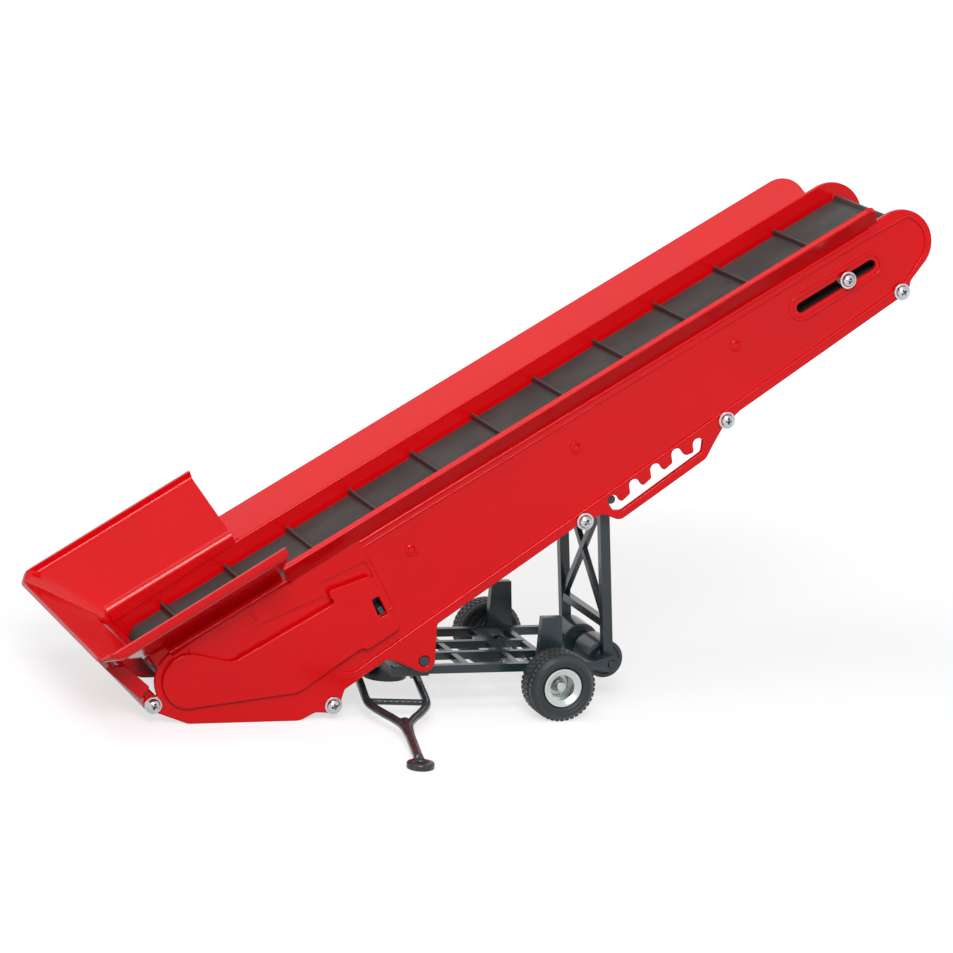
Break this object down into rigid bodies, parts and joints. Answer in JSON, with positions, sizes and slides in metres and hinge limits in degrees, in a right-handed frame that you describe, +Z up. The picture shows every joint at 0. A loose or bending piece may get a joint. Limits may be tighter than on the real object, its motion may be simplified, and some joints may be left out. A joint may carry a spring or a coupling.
{
  "type": "grain elevator",
  "caption": "Toy mobile belt elevator: red cleated-belt boom with hopper on a two-wheeled dark chassis, notched support ladder and steered drawbar.",
  "frame": {"origin": "middle of the outline, on the ground", "axes": "+X along the machine from the hopper to the discharge end, +Y across the machine away from the drive cover, +Z up"},
  "size_m": [0.2564, 0.1364, 0.1532],
  "materials": {
    "red_plastic": "glossy moulded",
    "dark_plastic": "satin moulded",
    "belt_rubber": "matt",
    "tyre_rubber": "satin",
    "silver_plastic": "silver painted",
    "zinc": "bright zinc plated",
    "steel": "turned",
    "cell_wrap": "plain wrap"
  },
  "bodies": {
    "chassis": {"chassis_frame": "dark_plastic", "axle": "steel", "hinge_pin": "dark_plastic", "king_pin": "dark_plastic", "ladder_shaft": "dark_plastic"},
    "boom": {"side_plate_near": "red_plastic", "side_plate_far": "red_plastic", "belt": "belt_rubber", "belt_deck": "red_plastic", "hopper": "red_plastic", "tail_guard": "red_plastic", "drive_cover": "red_plastic", "screw_tail": "zinc", "screw_foot": "zinc", "screw_middle": "zinc", "screw_upper": "zinc", "screw_head": "zinc", "spacer_tail": "red_plastic", "spacer_foot": "red_plastic", "spacer_middle": "red_plastic", "spacer_upper": "red_plastic", "spacer_head": "red_plastic", "drive_band": "belt_rubber", "motor": "steel", "motor_saddle": "dark_plastic", "battery_tray": "dark_plastic", "battery_door": "red_plastic", "cell_1": "cell_wrap", "cell_2": "cell_wrap", "contact_near": "zinc", "contact_far": "zinc", "switch_body": "dark_plastic"},
    "tail_drive": {"tail_roller": "dark_plastic", "roller_pulley": "dark_plastic"},
    "head_end": {"head_roller": "dark_plastic"},
    "motor_shaft": {"motor_pulley": "dark_plastic"},
    "tensioner": {"tension_bar": "steel", "tension_screw_near": "zinc", "tension_screw_far": "zinc"},
    "switch": {"switch_slider": "dark_plastic"},
    "wheel_near": {"tyre_near": "tyre_rubber", "rim_near": "silver_plastic"},
    "wheel_far": {"tyre_far": "tyre_rubber", "rim_far": "silver_plastic"},
    "roller": {"rear_roller": "tyre_rubber"},
    "ladder": {"ladder_frame": "dark_plastic"},
    "steering": {"turntable": "dark_plastic"},
    "tow": {"drawbar": "dark_plastic"}
  },
  "joints": [
    {"name": "boom_tilt", "type": "hinge", "parent": "chassis", "child": "boom", "pos_m": [-0.02434, 0.01557, 0.0171], "axis": [0, 1, 0], "range_deg": [0, 24.5]},
    {"name": "ladder_fold", "type": "hinge", "parent": "chassis", "child": "ladder", "pos_m": [0.03686, 0.01557, 0.0135], "axis": [0, 1, 0], "range_deg": [0, 59.6]},
    {"name": "tail_roller_spin", "type": "hinge", "parent": "boom", "child": "tail_drive", "pos_m": [-0.09594, 0.01557, 0.0131], "axis": [0, 1, 0], "continuous": true},
    {"name": "head_roller_spin", "type": "hinge", "parent": "boom", "child": "head_end", "pos_m": [0.11807, 0.01557, 0.14271], "axis": [0, 1, 0], "continuous": true},
    {"name": "motor_spin", "type": "hinge", "parent": "boom", "child": "motor_shaft", "pos_m": [-0.06713, 0.01557, 0.01185], "axis": [0, 1, 0], "continuous": true},
    {"name": "tension_slide", "type": "slide", "parent": "boom", "child": "tensioner", "axis": [0.8554, 0, 0.518], "range_m": [-0.016, 0.008]},
    {"name": "switch_slide", "type": "slide", "parent": "boom", "child": "switch", "axis": [-0.518, 0, 0.8554], "range_m": [0, 0.0024]},
    {"name": "wheel_near_spin", "type": "hinge", "parent": "chassis", "child": "wheel_near", "pos_m": [0.01626, 0.01557, 0.0104], "axis": [0, 1, 0], "continuous": true},
    {"name": "wheel_far_spin", "type": "hinge", "parent": "chassis", "child": "wheel_far", "pos_m": [0.01626, 0.01557, 0.0104], "axis": [0, 1, 0], "continuous": true},
    {"name": "rear_roller_spin", "type": "hinge", "parent": "chassis", "child": "roller", "pos_m": [0.03686, 0.01557, 0.0135], "axis": [0, 1, 0], "continuous": true},
    {"name": "steer", "type": "hinge", "parent": "chassis", "child": "steering", "pos_m": [-0.02734, 0.01557, 0.0055], "axis": [0, 0, 1], "range_deg": [-12, 38]},
    {"name": "tow_lift", "type": "hinge", "parent": "steering", "child": "tow", "pos_m": [-0.02734, 0.01557, 0.0075], "axis": [-0.9833, 0.1822, 0], "range_deg": [0, 8]}
  ],
  "couplings": [
    {"joint": "ladder_fold", "follows": "boom_tilt", "ratio": 2.43},
    {"joint": "head_roller_spin", "follows": "tail_roller_spin", "ratio": 1},
    {"joint": "motor_spin", "follows": "tail_roller_spin", "ratio": 2.0455}
  ]
}
